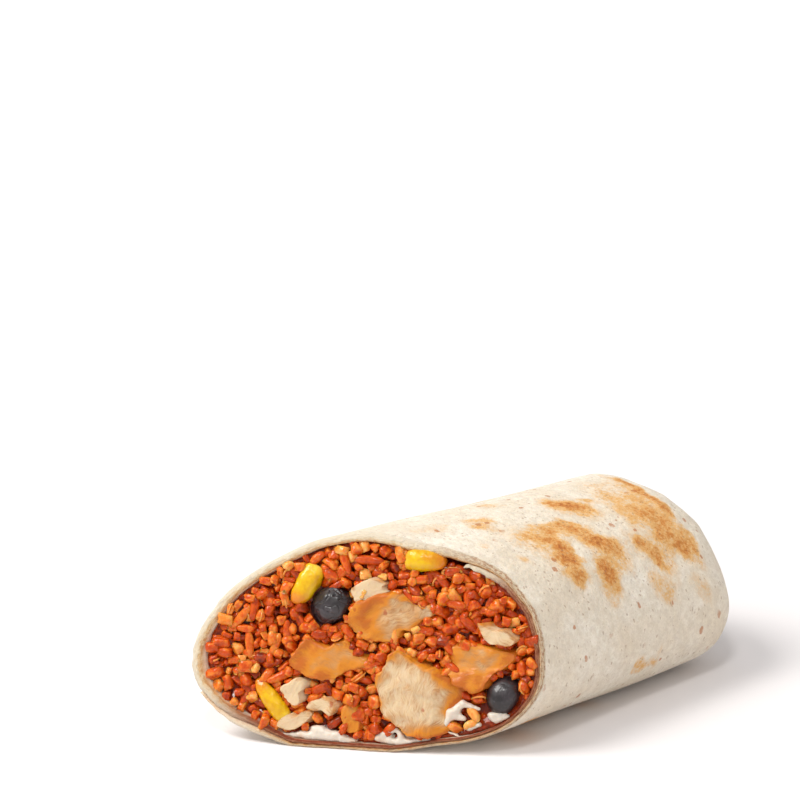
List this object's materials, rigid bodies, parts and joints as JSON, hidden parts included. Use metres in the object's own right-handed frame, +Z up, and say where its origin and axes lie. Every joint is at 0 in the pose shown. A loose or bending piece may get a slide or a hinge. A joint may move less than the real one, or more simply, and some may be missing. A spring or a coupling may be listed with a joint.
{
  "type": "halved chicken wrap",
  "caption": "Rolled flour tortilla cut on the slant, its open end showing red rice and quinoa with chicken, black beans, sweetcorn and soured cream, its far end folded shut.",
  "frame": {"origin": "under the middle of the wrap's bounding box, on the surface that it lies on", "axes": "+X along the roll towards its folded end, +Z up, the slanted cut faces -X and -Y"},
  "size_m": [0.1262, 0.0652, 0.0463],
  "materials": {
    "tortilla": "soft floury flour tortilla with toasted patches",
    "red_rice": "moist cooked grain in an orange-red sauce",
    "soured_cream": "thick wet cream",
    "chicken": "moist fibrous cooked meat, golden at its edges",
    "black_bean": "smooth blue-black skin with a soft shine",
    "sweetcorn": "shiny translucent yellow skin"
  },
  "bodies": {
    "root": {"tortilla": "tortilla", "rice_and_quinoa": "red_rice", "soured_cream": "soured_cream", "chicken_chunk_1": "chicken", "chicken_chunk_2": "chicken", "chicken_chunk_3": "chicken", "chicken_chunk_4": "chicken", "chicken_scrap_1": "chicken", "chicken_scrap_2": "chicken", "chicken_scrap_3": "chicken", "chicken_scrap_4": "chicken", "chicken_scrap_5": "chicken", "chicken_scrap_6": "chicken", "black_bean_1": "black_bean", "black_bean_2": "black_bean", "sweetcorn_1": "sweetcorn", "sweetcorn_2": "sweetcorn", "sweetcorn_3": "sweetcorn"}
  },
  "joints": []
}
